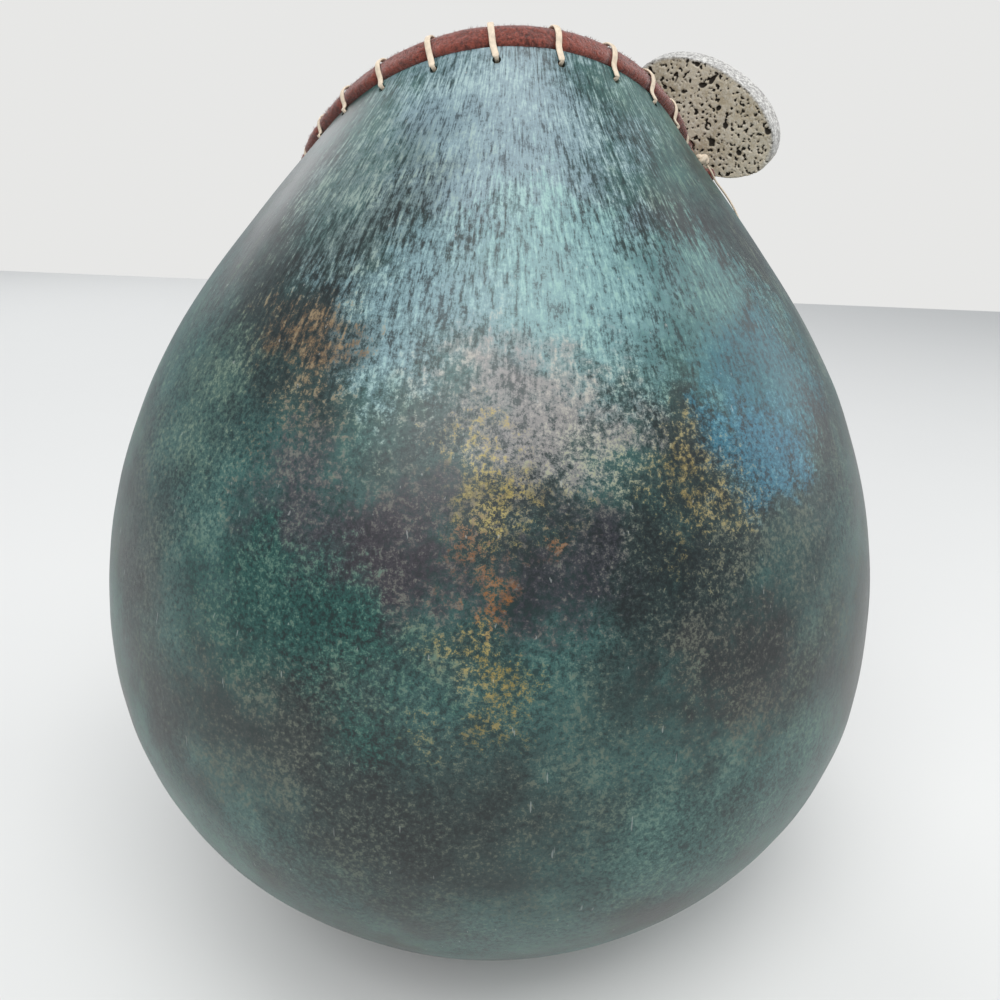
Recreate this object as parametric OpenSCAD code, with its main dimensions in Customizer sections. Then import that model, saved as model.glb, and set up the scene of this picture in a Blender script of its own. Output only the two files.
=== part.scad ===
/* [Body] */
// Width of the gourd at its widest
body_w = 320; // [280:5:360]
// Height of the widest place above the floor
belly_h = 135; // [120:5:150]
// Flat foot that the gourd stands on
foot_w = 90; // [60:5:110]
// Thickness of the dried wall
wall = 6; // [4.5:0.5:7.5]
// Straight rise of the upper profile above the widest place
shoulder_rise = 136; // [125:1:145]
// Height at which the neck would close without its cut
tip_h = 372; // [366:1:380]
// Half width of the neck at that height
tip_r = 38.5; // [35:0.5:42]

/* [Cut rim] */
// Height of the cut at the back
rim_back_h = 351.5; // [346:0.5:354]
// Distance of the highest place of the cut behind the axis
rim_back_y = 43.7; // [41:0.1:46]
// Slope of the cut at the back
rim_slope = 32; // [28:1:34]
// Length of the straight part of the cut, measured level
rim_straight = 55; // [45:1:60]
// Radius with which the cut levels out toward the front
rim_bend = 125; // [110:5:140]
// Sideways tilt of the cut
rim_roll = 4; // [2:0.5:5]

/* [Welt and lacing] */
// Diameter of the rolled suede welt
welt_d = 8.4; // [7.5:0.1:9]
// Number of whip stitches
stitches = 23; // [20:1:24]
// Diameter of the lacing holes
hole_d = 2.8; // [2.6:0.1:3.2]
// Distance of the lacing holes below the cut edge
hole_drop = 4.6; // [4:0.1:6]
// Width of the flat lace
lace_w = 2.2; // [1.8:0.1:2.4]
// Thickness of the flat lace
lace_t = 0.8; // [0.6:0.1:1]
// Share of a stitch by which it slants before it goes over the welt
stitch_slant = 0.1; // [0:0.02:0.2]
// Diameter of the hanging end of the lace
tail_d = 1.8; // [1.5:0.1:2]
// Width of the knot that ends the lacing
lace_knot_d = 6; // [5:0.5:7]

/* [Slice] */
// Length of the porous slice
slice_len = 64; // [56:1:66]
// Width of the porous slice
slice_w = 39; // [34:1:40]
// Thickness of the porous slice
slice_t = 9; // [7:0.5:10]
// Diameter of the hole in the slice
slice_hole_d = 5; // [4.5:0.1:6]
// Diameter of the suede thong
thong_d = 3; // [2.5:0.1:3.4]
// Diameter of the thong's hole in the gourd
thong_hole_d = 4; // [3.8:0.1:5]
// Distance of the thong's hole below the cut edge
thong_drop = 10; // [9:0.5:12]
// Width of the thong's knot
thong_knot_d = 9; // [8:0.5:10]

/* [Hidden] */
gap = 0.3;
body_r = body_w / 2;
reach = body_w;

// Profile of the outside, as radius and height
foot_r = foot_w / 2;
belly_drop = belly_h / sqrt(1 - pow(foot_r / body_r, 2));
lower_turns = 14;
upper_turns = 26;
neck_handle = 50;
handle_r = tip_r + 0.2 * neck_handle;
function mix3(a, b, c, d, t) =
    pow(1 - t, 3) * a + 3 * pow(1 - t, 2) * t * b + 3 * (1 - t) * pow(t, 2) * c + pow(t, 3) * d;
foot_angle = asin(belly_h / belly_drop);
lower = [for (i = [0:lower_turns])
    let (a = -foot_angle * (1 - i / lower_turns))
    [body_r * cos(a), belly_h + belly_drop * sin(a)]];
upper = [for (i = [1:upper_turns])
    let (t = i / upper_turns)
    [mix3(body_r, body_r, handle_r, tip_r, t),
     mix3(belly_h, belly_h + shoulder_rise, tip_h - neck_handle, tip_h, t)]];
outside = concat(lower, upper);
last = len(outside) - 1;
function unit(v) = v / norm(v);
function along(i) = unit(outside[min(i + 1, last)] - outside[max(i - 1, 0)]);
function inward(i) = outside[i] + wall * [-along(i)[1], along(i)[0]];
floor_inside = wall;
inside = [for (i = [0:last])
    let (p = inward(i))
    if (p[1] > floor_inside) p];
outer_table = [for (p = outside) [p[1], p[0]]];
inner_table = [for (p = inside) [p[1], p[0]]];
function mid_r(z) = (lookup(z, outer_table) + lookup(z, inner_table)) / 2;

// Cut of the rim, as height over the distance behind or before the axis
straight_end_y = rim_straight - rim_back_y;
straight_end_z = rim_back_h - rim_straight * tan(rim_slope);
bend_y = straight_end_y + rim_bend * sin(rim_slope);
bend_z = straight_end_z + rim_bend * cos(rim_slope);
function cut_z(y) =
    y <= straight_end_y ? rim_back_h - (y + rim_back_y) * tan(rim_slope) :
    y < bend_y ? bend_z - sqrt(pow(rim_bend, 2) - pow(y - bend_y, 2)) : bend_z - rim_bend;
function cut_rise(y) =
    y <= straight_end_y ? -tan(rim_slope) :
    y < bend_y ? (y - bend_y) / sqrt(pow(rim_bend, 2) - pow(y - bend_y, 2)) : 0;
function above(p) = p[2] * cos(rim_roll) - p[0] * sin(rim_roll) - cut_z(p[1]);
function wall_point(a, z) = [mid_r(z) * cos(a), mid_r(z) * sin(a), z];
halvings = 24;
function seek(a, low, high, n) =
    n == 0 ? wall_point(a, (low + high) / 2) :
    above(wall_point(a, (low + high) / 2)) > 0 ? seek(a, low, (low + high) / 2, n - 1) :
    seek(a, (low + high) / 2, high, n - 1);
function rim_point(a) = seek(a, belly_h, tip_h - wall, halvings);

// Frame on the rim: outward, along the rim and up the wall
look = 2;
function out_at(a, z) =
    let (slope = (mid_r(z + look) - mid_r(z - look)) / (2 * look))
    unit([cos(a), sin(a), -slope]);
function along_rim(a) = unit(rim_point(a + look) - rim_point(a - look));
function rim_frame(a) =
    let (p = rim_point(a), o = out_at(a, p[2]), t = along_rim(a), u = unit(cross(o, t)),
         c = unit([-sin(rim_roll), -cut_rise(p[1]), cos(rim_roll)]))
    [p, o, u, t, c * o, c * u];
function place(f, q) = f[0] + q[0] * f[1] + q[1] * f[2];

// Even spacing along the rim
step = 3;
rim_pts = [for (a = [0:step:360]) rim_point(a)];
run = [for (i = 0, s = 0; i < len(rim_pts); s = s + norm(rim_pts[min(i + 1, len(rim_pts) - 1)] - rim_pts[i]),
       i = i + 1) [s, i * step]];
rim_len = run[len(run) - 1][0];
pitch = rim_len / stitches;
function wrap(s) = s - rim_len * floor(s / rim_len);
function angle_at(s) = lookup(wrap(s), run);
// Place of the first stitch, just past the slice
first_stitch = 0.62 * pitch;

// Welt centre above the edge, within the frame
welt_r = welt_d / 2;
function welt_mid(f) = (welt_r + gap) * [f[4], f[5]] / norm([f[4], f[5]]);

// Closed or open tube through rings of points
module tube(rings, closed = false) {
    sides = len(rings[0]);
    count = len(rings);
    points = [for (r = rings) for (p = r) p];
    walls = [for (i = [0:count - (closed ? 1 : 2)]) for (j = [0:sides - 1])
        let (k = (j + 1) % sides, n = (i + 1) % count)
        each [[i * sides + j, n * sides + k, i * sides + k], [i * sides + j, n * sides + j, n * sides + k]]];
    ends = closed ? [] :
        concat([for (j = [1:sides - 2]) [0, j, j + 1]],
               [for (j = [1:sides - 2]) let (b = (count - 1) * sides) [b, b + j + 1, b + j]]);
    polyhedron(points = points, faces = concat(walls, ends), convexity = 10);
}

// Round ring of a tube at one point of a route
function ring(p, dir, side, r, sides) =
    let (x = unit(side - (side * dir) * dir), y = cross(dir, x))
    [for (j = [0:sides - 1]) p + r * (cos(360 * j / sides) * x + sin(360 * j / sides) * y)];
function heading(route, i) =
    unit(route[min(i + 1, len(route) - 1)] - route[max(i - 1, 0)]);
// Smooth route through chosen points
function spline(p0, p1, p2, p3, t) =
    0.5 * (2 * p1 + (p2 - p0) * t + (2 * p0 - 5 * p1 + 4 * p2 - p3) * t * t
           + (3 * p1 - p0 - 3 * p2 + p3) * t * t * t);
function smooth(points, cuts) =
    let (n = len(points))
    concat([for (i = [0:n - 2]) for (c = [0:cuts - 1])
        spline(points[max(i - 1, 0)], points[i], points[i + 1], points[min(i + 2, n - 1)], c / cuts)],
        [points[n - 1]]);

// One whip stitch, as points outward and up, with the share of the way to the next hole
lace_off = lace_t / 2 + gap;
mouth = wall / 2 + lace_off;
stations = 20;
function wrap_start(c, w) = let (v = w - c) atan2(v[1], v[0]) + acos((welt_r + lace_off) / norm(v));
function wrap_end(c, w) = let (v = w - c) atan2(v[1], v[0]) - acos((welt_r + lace_off) / norm(v));
arc_cuts = 8;
function stitch(f) =
    let (c = welt_mid(f), lean = f[4] / f[5],
         w1 = [mouth + 0.1, gap - lean * wall / 2 + (lean > 0 ? 0 : gap)],
         w2 = [-mouth - 0.1, gap + max(lean, 0) * wall / 2],
         a1 = wrap_start(c, w1), a2 = wrap_end(c, w2), a3 = a2 < a1 ? a2 + 360 : a2,
         r = welt_r + lace_off)
    concat(
        [[-wall / 2 + 0.4, -hole_drop, 0], [0, -hole_drop, 0], [wall / 2 - 0.2, -hole_drop, 0],
         [mouth - 0.15, -hole_drop + 0.3, 0], [mouth, -hole_drop + 1.2, 0.01],
         [w1[0], w1[1], 0.5 * stitch_slant]],
        [for (i = [0:arc_cuts])
            let (a = a1 + (a3 - a1) * i / arc_cuts, g = stitch_slant * (0.6 + 0.8 * i / arc_cuts))
            [c[0] + r * cos(a), c[1] + r * sin(a), g]],
        [[w2[0], w2[1], 0.3], [-mouth, -hole_drop * 0.35, 0.55], [-mouth, -hole_drop * 0.65, 0.8],
         [-mouth - 0.1, -hole_drop + 0.9, 0.95], [-mouth + 0.2, -hole_drop + 0.1, 1]]);
// The lacing runs toward the left as seen from the back
function lace_stop(k, g) = first_stitch - (k + g) * pitch;
function lace_points(k) =
    [for (i = [0:stations - 1])
        let (g = stitch(rim_frame(angle_at(lace_stop(k, 0))))[i][2],
             f = rim_frame(angle_at(lace_stop(k, g))), q = stitch(f)[i])
        [place(f, q), f[3]]];
lace_route = [for (k = [0:stitches - 1]) each lace_points(k)];
function lace_dir(i) =
    unit(lace_route[min(i + 1, len(lace_route) - 1)][0] - lace_route[max(i - 1, 0)][0]);
function flat_ring(p, dir, side) =
    let (x = unit(side - (side * dir) * dir), y = cross(dir, x), h = lace_w / 2, t = lace_t / 2)
    [p + h * x, p + h / 2 * x + t * y, p - h / 2 * x + t * y,
     p - h * x, p - h / 2 * x - t * y, p + h / 2 * x - t * y];

// Plane of the slice: middle, right, up and toward the back
slice_turn = 29.7;
slice_lean = 16;
slice_right = [cos(slice_turn), -sin(slice_turn), 0];
slice_up = [-sin(slice_turn) * sin(slice_lean), -cos(slice_turn) * sin(slice_lean), cos(slice_lean)];
slice_out = [-sin(slice_turn) * cos(slice_lean), -cos(slice_turn) * cos(slice_lean), -sin(slice_lean)];
// Azimuth of the rim where the slice stands
slice_azimuth = 22;
slice_base = rim_frame(slice_azimuth);
// Middle of the slice's hole, beside and above that place of the rim
slice_pin = slice_base[0] + [4.4, 1, welt_d + 3];
// Azimuth of the thong's hole in the gourd
thong_base = rim_frame(17.5);
slice_angle = -28;
// Middle of the slice from its hole, along its right and up
slice_mid = [5, 11];
seat_drop = 3.8;

module slice_plane() {
    multmatrix([[slice_right[0], slice_up[0], slice_out[0], slice_pin[0]],
                [slice_right[1], slice_up[1], slice_out[1], slice_pin[1]],
                [slice_right[2], slice_up[2], slice_out[2], slice_pin[2]],
                [0, 0, 0, 1]]) children();
}

module gourd_shell() {
    color("teal") difference() {
        rotate_extrude($fn = 96) polygon(concat([[0, 0]], outside, [[0, tip_h]]));
        rotate_extrude($fn = 96) polygon(concat([[0, floor_inside]], [[inside[0][0], floor_inside]],
                                                inside, [[0, inside[len(inside) - 1][1]]]));
        cut_above();
        for (k = [0:stitches - 1]) lacing_hole(rim_frame(angle_at(lace_stop(k, 0))), hole_drop, hole_d);
        lacing_hole(thong_base, thong_drop, thong_hole_d);
    }
}

module cut_above() {
    front = body_r;
    back = -body_r;
    high = tip_h * 1.5;
    cuts = 8;
    curve = [for (i = [0:cuts])
        let (y = straight_end_y + (bend_y - straight_end_y) * i / cuts) [y, cut_z(y)]];
    rotate([0, -rim_roll, 0]) rotate([90, 0, 90])
        linear_extrude(height = 2 * reach, center = true)
            polygon(concat([[back, cut_z(back)]], curve, [[front, cut_z(front)], [front, high], [back, high]]));
}

module lacing_hole(f, drop, d) {
    p = place(f, [0, -drop]);
    o = f[1];
    translate(p) rotate([0, acos(o[2]), atan2(o[1], o[0])])
        cylinder(d = d, h = wall * 2.4, center = true, $fn = 24);
}

module rim_welt() {
    turns = 90;
    sides = 10;
    color("sienna") tube([for (i = [0:turns - 1])
        let (f = rim_frame(angle_at(-rim_len * i / turns)), c = welt_mid(f))
        ring(place(f, c), f[3] * -1, f[1], welt_r, sides)], closed = true);
}

module rim_lacing() {
    count = len(lace_route);
    far = 14;
    least = min([for (i = [0:count - 1]) for (j = [i + far:min(i + 3 * stations, count - 1)])
        norm(lace_route[i][0] - lace_route[j][0])]) - lace_w;
    echo("least gap of the lacing to itself", least);
    color("ivory") tube([for (i = [0:count - 1])
        flat_ring(lace_route[i][0], lace_dir(i), lace_route[i][1])]);
}

// The lace ends outside the shell, in a knot just before its first hole
knot_frame = rim_frame(angle_at(first_stitch + 0.2 * pitch));
knot_place = place(knot_frame, [wall / 2 + gap + lace_knot_d / 2, -hole_drop - 3]);

module lacing_knot() {
    color("ivory") translate(knot_place) sphere(d = lace_knot_d, $fn = 24);
}

// Route of the hanging end, from the knot down the shoulder
tail_points = [[0, 0, 0], [2, 1, -2], [5, 3, -6], [10, 5, -11], [15, 7, -17], [19, 8, -24], [22, 9, -30]];

module lacing_tail() {
    start = knot_place + [0.7, 0.2, -0.7] * (lace_knot_d / 2 + 0.1);
    route = smooth([for (p = tail_points) start + p], 3);
    color("ivory") tube([for (i = [0:len(route) - 1])
        ring(route[i], heading(route, i), [0, 1, 0], tail_d / 2, 8)]);
}

module porous_slice() {
    color("tan") slice_plane() difference() {
        translate([0, 0, -slice_t]) linear_extrude(height = slice_t) difference() {
            translate(slice_mid) rotate(slice_angle) scale([slice_len / slice_w, 1])
                circle(d = slice_w, $fn = 64);
            rotate(slice_angle - 5) translate([-slice_len, -seat_drop - slice_w])
                square([slice_len * 1.06, slice_w]);
        }
        translate([0, 0, -slice_t / 2])
            cylinder(d = slice_hole_d, h = slice_t * 2, center = true, $fn = 32);
    }
}

function on_slice(x, y, z) = slice_pin + x * slice_right + y * slice_up + z * slice_out;
thong_clear = thong_d / 2 + gap;
knot_r = thong_knot_d * 0.4;
knot_mid = place(thong_base, [wall / 2 + gap + knot_r, -thong_drop]);
// Azimuth at which the thong crosses over the welt behind the slice
over_base = rim_frame(29);
over_mid = welt_mid(over_base);
thong_over = welt_r + thong_clear + lace_t + gap;
// Place where the thong turns down in front of the slice
thong_bend = on_slice(4.5, -5, 4.5);
thong_route = [
    place(thong_base, [wall / 2 + gap, -thong_drop]),
    place(thong_base, [0, -thong_drop]),
    place(thong_base, [-wall / 2 - thong_clear, -thong_drop]),
    place(thong_base, [-wall / 2 - thong_clear - 4, -thong_drop + 2]),
    place(over_base, over_mid + (thong_over + 4) * [-0.94, -0.34]),
    place(over_base, over_mid + (thong_over + 1) * [-0.64, 0.77]),
    place(over_base, over_mid + (thong_over + 1) * [0.17, 0.98]),
    on_slice(-0.5, -1.5, -slice_t - thong_clear - 3.5),
    on_slice(0, 0, -slice_t - 1),
    on_slice(0, 0, -slice_t / 2),
    on_slice(0, 0, 0.5),
    on_slice(1.5, -1, thong_clear + 1),
    thong_bend,
    knot_mid + unit(thong_bend - knot_mid) * (knot_r + 0.1)];

module slice_thong() {
    route = smooth(thong_route, 3);
    color("brown") tube([for (i = [0:len(route) - 1])
        ring(route[i], heading(route, i), slice_right, thong_d / 2, 8)]);
}

module thong_knot() {
    color("brown") translate(knot_mid) sphere(r = knot_r, $fn = 24);
}

gourd_shell();
rim_welt();
rim_lacing();
lacing_knot();
lacing_tail();
porous_slice();
slice_thong();
thong_knot();
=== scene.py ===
import math
from collections import namedtuple

import bmesh
import bpy
from mathutils import Matrix, Vector, noise


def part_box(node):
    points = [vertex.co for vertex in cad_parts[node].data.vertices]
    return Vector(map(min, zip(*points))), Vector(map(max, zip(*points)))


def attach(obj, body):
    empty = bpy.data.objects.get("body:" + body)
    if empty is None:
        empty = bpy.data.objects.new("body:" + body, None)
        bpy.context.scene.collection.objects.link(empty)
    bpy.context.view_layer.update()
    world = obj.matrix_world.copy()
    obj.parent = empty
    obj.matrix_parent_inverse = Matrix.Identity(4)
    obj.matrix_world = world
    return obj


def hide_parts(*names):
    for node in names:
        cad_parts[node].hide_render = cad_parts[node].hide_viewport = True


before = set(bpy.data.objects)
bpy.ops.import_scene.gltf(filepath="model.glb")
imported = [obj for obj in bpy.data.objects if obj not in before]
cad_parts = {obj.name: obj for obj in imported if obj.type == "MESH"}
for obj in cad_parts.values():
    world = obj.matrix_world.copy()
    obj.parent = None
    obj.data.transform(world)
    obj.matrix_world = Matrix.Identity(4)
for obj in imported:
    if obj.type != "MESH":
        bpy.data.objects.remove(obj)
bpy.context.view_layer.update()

bl_info = {
    "name": "Laced gourd vessel",
    "version": (1, 0, 0),
    "blender": (4, 5, 0),
    "location": "View3D > Sidebar > Gourd",
    "description": "Builds a dyed gourd vessel with a laced suede rim and a tied porous slice",
    "category": "Object",
}

MM = 0.001
SHELL_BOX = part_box("gourd_shell")
BODY_W = SHELL_BOX[1][0] - SHELL_BOX[0][0]
GAP = 0.3 * MM

# Outline of the gourd above its belly
TIP_H = 0.372
TIP_R = 0.0385
SHOULDER_RISE = 0.136
NECK_HANDLE = 0.050
NECK_FLARE = 0.2 * NECK_HANDLE
LOWER_STEPS = 60
UPPER_STEPS = 100

# Saw cut of the mouth
RIM_BACK_H = 0.3515
RIM_BACK_Y = 0.0437
RIM_SLOPE = math.radians(32)
RIM_STRAIGHT = 0.055
RIM_BEND = 0.125
RIM_ROLL = math.radians(4)
RUN_STEP = 3
SEEK_STEPS = 26

# Lacing: shares are of the way from one hole to the next
FIRST_STITCH = 0.62
STITCH_SLANT = 0.1
IN_HOLE = (0, 1, 2, 3, 18, 19)
HOLE_LIFT = 0.45 * MM
HOLE_NARROW = 0.66
KNOT_SHARE = 0.2
KNOT_LOW = 3 * MM
KNOT_R = 3 * MM
TAIL_D = 1.8 * MM
TAIL_T = 0.7 * MM
TAIL_WAY = Vector((0.7, 0.2, -0.7))
TAIL_ROUTE = [(0, 0, 0), (2, 1, -2), (5, 3, -6), (10, 5, -11), (15, 7, -17), (19, 8, -24), (22, 9, -30)]

# Slice and its thong: azimuths on the rim in degrees
SLICE_AT = 22
SLICE_TURN = math.radians(29.7)
SLICE_LEAN = math.radians(16)
SLICE_ANGLE = math.radians(-28)
SLICE_MID = (5 * MM, 11 * MM)
SEAT_ANGLE = SLICE_ANGLE - math.radians(5)
SEAT_DROP = 3.8 * MM
SEAT_REACH = 0.06
THONG_AT = 17.5
THONG_OVER_AT = 29
THONG_DROP = 10 * MM
THONG_HOLE_D = 4 * MM
THONG_KNOT_R = 3.6 * MM

# The slice's own directions: right, up and out of its sawn face
RIGHT = Vector((math.cos(SLICE_TURN), -math.sin(SLICE_TURN), 0))
UPWARD = Vector((
    -math.sin(SLICE_TURN) * math.sin(SLICE_LEAN),
    -math.cos(SLICE_TURN) * math.sin(SLICE_LEAN),
    math.cos(SLICE_LEAN)))
TOWARD = Vector((
    -math.sin(SLICE_TURN) * math.cos(SLICE_LEAN),
    -math.cos(SLICE_TURN) * math.cos(SLICE_LEAN),
    -math.sin(SLICE_LEAN)))

# Camera of the photograph, and the stage
CAMERA_AT = (0.0027, -0.3653, 0.3306)
PITCH = math.radians(22.6)
TILT = math.radians(2.35)
LENS = 32.4
SENSOR = 36
FLOOR_HALF = 1.6
LAMPS = [
    ("key_lamp", (-0.5, -1.3, 1.5), (0, 0, 0.2), 1.1, 17.0),
    ("window_lamp", (0.15, -0.55, 1.45), (0, 0, 0.25), 0.8, 9.0),
    ("side_lamp", (1.5, 0.3, 0.9), (0, 0, 0.2), 1.2, 8.0),
    ("back_lamp", (-0.9, 1.4, 1.2), (0, 0, 0.2), 1.3, 10.0),
]

# Dye patches and a painted highlight: azimuth in degrees, height in mm, size in mm, strength, colour
DYE_AND_HIGHLIGHT_PATCHES = [
    # The pale blue-white patches at -90/330, -78/288, -103/284 and -84/256 sit high on the front and are a
    # painted highlight, not dye
    (-90, 330, 62, 0.85, (0.24, 0.41, 0.52)), (-78, 288, 50, 0.80, (0.20, 0.43, 0.50)),
    (-103, 284, 46, 0.70, (0.22, 0.42, 0.52)), (-124, 312, 44, 0.60, (0.15, 0.25, 0.28)),
    (-84, 256, 40, 0.75, (0.30, 0.33, 0.36)), (-54, 284, 40, 0.80, (0.07, 0.22, 0.25)),
    (-44, 262, 40, 0.85, (0.022, 0.17, 0.24)), (-51, 245, 30, 0.80, (0.030, 0.21, 0.35)),
    (-120, 268, 26, 0.75, (0.16, 0.11, 0.060)), (-116, 244, 28, 0.55, (0.15, 0.12, 0.075)),
    (-90, 236, 20, 0.75, (0.34, 0.30, 0.070)), (-89, 212, 17, 0.80, (0.36, 0.15, 0.022)),
    (-90, 186, 22, 0.65, (0.25, 0.21, 0.050)), (-64, 238, 28, 0.60, (0.22, 0.19, 0.070)),
    (-78, 240, 24, 0.45, (0.21, 0.26, 0.20)), (-101, 219, 34, 0.90, (0.040, 0.040, 0.060)),
    (-112, 228, 32, 0.75, (0.055, 0.060, 0.085)), (-82, 217, 24, 0.70, (0.035, 0.040, 0.060)),
    (-114, 194, 44, 0.90, (0.008, 0.090, 0.088)), (-103, 188, 26, 0.70, (0.015, 0.110, 0.105)),
    (-62, 180, 44, 0.85, (0.028, 0.038, 0.044)), (-48, 205, 34, 0.60, (0.035, 0.060, 0.065)),
    (-74, 166, 40, 0.50, (0.022, 0.062, 0.064)), (-118, 152, 50, 0.70, (0.030, 0.048, 0.052)),
    (-138, 250, 44, 0.60, (0.070, 0.150, 0.135)), (-140, 200, 46, 0.60, (0.040, 0.070, 0.075)),
    (-90, 128, 60, 0.60, (0.020, 0.040, 0.044)), (-168, 262, 52, 0.70, (0.050, 0.150, 0.150)),
    (178, 205, 46, 0.80, (0.012, 0.095, 0.100)), (160, 240, 40, 0.70, (0.045, 0.045, 0.070)),
    (146, 196, 32, 0.60, (0.30, 0.20, 0.050)), (138, 268, 44, 0.75, (0.19, 0.34, 0.40)),
    (118, 222, 42, 0.80, (0.010, 0.110, 0.110)), (104, 180, 44, 0.80, (0.035, 0.036, 0.052)),
    (92, 250, 46, 0.75, (0.20, 0.36, 0.42)), (80, 208, 24, 0.65, (0.34, 0.17, 0.030)),
    (66, 232, 40, 0.75, (0.030, 0.180, 0.280)), (48, 190, 46, 0.80, (0.015, 0.090, 0.095)),
    (34, 250, 44, 0.70, (0.055, 0.060, 0.080)), (14, 226, 42, 0.80, (0.025, 0.170, 0.220)),
    (-6, 268, 44, 0.70, (0.11, 0.17, 0.17)), (-18, 212, 40, 0.75, (0.040, 0.075, 0.080)),
    (20, 172, 44, 0.60, (0.24, 0.19, 0.060)), (-30, 172, 46, 0.70, (0.030, 0.045, 0.050)),
]


def length(name, description, default):
    """A length that the user can change."""
    return bpy.props.FloatProperty(name=name, description=description, default=default, unit="LENGTH")


def tint(name, description, default):
    """A colour that the user can change."""
    return bpy.props.FloatVectorProperty(
        name=name, description=description, default=default, size=3, subtype="COLOR")


class GourdSizes(bpy.types.PropertyGroup):
    body_r: length("Body radius", "Half width of the gourd", round(BODY_W / 2, 3))
    belly_h: length("Belly height", "Height of the widest place", 0.135)
    foot_r: length("Foot radius", "Radius of the flat foot", 0.045)
    wall: length("Wall", "Thickness of the dried wall", 0.006)
    hole_d: length("Lacing hole", "Diameter of a lacing hole", 0.0028)
    hole_drop: length("Hole drop", "Distance of the holes below the edge", 0.0046)
    stitches: bpy.props.IntProperty(name="Stitches", description="Number of whip stitches", default=23)
    dye_dark: tint("Dark dye", "Dye between the specks", (0.018, 0.040, 0.045))
    dye_teal: tint("Teal dye", "Main dye", (0.045, 0.155, 0.160))


class RimSizes(bpy.types.PropertyGroup):
    welt_r: length("Welt radius", "Radius of the rolled suede", 0.0042)
    lace_w: length("Lace width", "Width of the flat lace", 0.0022)
    lace_t: length("Lace thickness", "Thickness of the flat lace", 0.0008)
    suede: tint("Suede", "Colour of the welt and the thong's knot", (0.215, 0.048, 0.030))
    # The thong is the same red suede as the welt and its knot; its paler colour is painted light
    lit_thong_suede: tint("Lit suede", "Colour of the thong", (0.36, 0.150, 0.105))
    lace: tint("Lace colour", "Colour of the lace", (0.72, 0.60, 0.46))


class SliceSizes(bpy.types.PropertyGroup):
    length: length("Slice length", "Long side of the slice", 0.064)
    width: length("Slice width", "Short side of the slice", 0.039)
    thick: length("Slice thickness", "Thickness of the slice", 0.009)
    hole_d: length("Slice hole", "Hole that the thong passes", 0.005)
    thong_d: length("Thong", "Diameter of the suede thong", 0.003)


def bezier(a, b, c, d, t):
    return (1 - t) ** 3 * a + 3 * (1 - t) ** 2 * t * b + 3 * (1 - t) * t * t * c + t ** 3 * d


def clamp(value):
    return max(0.0, min(1.0, value))


def profile(sizes):
    """Outside of the gourd as radius and height, from the foot to the tip."""
    drop = sizes.belly_h / math.sqrt(1 - (sizes.foot_r / sizes.body_r) ** 2)
    low = math.asin(sizes.belly_h / drop)
    points = []
    for i in range(LOWER_STEPS + 1):
        a = -low * (1 - i / LOWER_STEPS)
        points.append((sizes.body_r * math.cos(a), sizes.belly_h + drop * math.sin(a)))
    for i in range(1, UPPER_STEPS + 1):
        t = i / UPPER_STEPS
        points.append((
            bezier(sizes.body_r, sizes.body_r, TIP_R + NECK_FLARE, TIP_R, t),
            bezier(sizes.belly_h, sizes.belly_h + SHOULDER_RISE, TIP_H - NECK_HANDLE, TIP_H, t)))
    return points


def inner_profile(points, wall):
    """The same line, one wall inside and above the floor."""
    inner = []
    for i, p in enumerate(points):
        a = Vector(points[max(i - 1, 0)])
        b = Vector(points[min(i + 1, len(points) - 1)])
        d = (b - a).normalized()
        q = Vector(p) + wall * Vector((-d.y, d.x))
        if q.y > wall:
            inner.append((q.x, q.y))
    return inner


def radius_at(points, z):
    """Radius of a profile at one height."""
    if z <= points[0][1]:
        return points[0][0]
    low = 0
    high = len(points) - 1
    while high - low > 1:
        mid = (low + high) // 2
        if points[mid][1] > z:
            high = mid
        else:
            low = mid
    a, b = points[low], points[high]
    t = min(1.0, (z - a[1]) / (b[1] - a[1]))
    return a[0] + (b[0] - a[0]) * t


def around(r, a, z):
    """A point at a radius, an azimuth and a height."""
    return Vector((r * math.cos(a), r * math.sin(a), z))


def cut_z(y):
    """Height of the saw cut, a slope that levels out toward the front."""
    end_y = RIM_STRAIGHT - RIM_BACK_Y
    end_z = RIM_BACK_H - RIM_STRAIGHT * math.tan(RIM_SLOPE)
    bend_y = end_y + RIM_BEND * math.sin(RIM_SLOPE)
    bend_z = end_z + RIM_BEND * math.cos(RIM_SLOPE)
    if y <= end_y:
        return RIM_BACK_H - (y + RIM_BACK_Y) * math.tan(RIM_SLOPE)
    if y < bend_y:
        return bend_z - math.sqrt(RIM_BEND ** 2 - (y - bend_y) ** 2)
    return bend_z - RIM_BEND


def cut_rise(y):
    """Slope of the cut."""
    step = 0.5 * MM
    return (cut_z(y + step) - cut_z(y - step)) / (2 * step)


# A place on the rim: its point, three directions, and the cut's normal along out and up
Frame = namedtuple("Frame", "point out up along cut_out cut_up")


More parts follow.
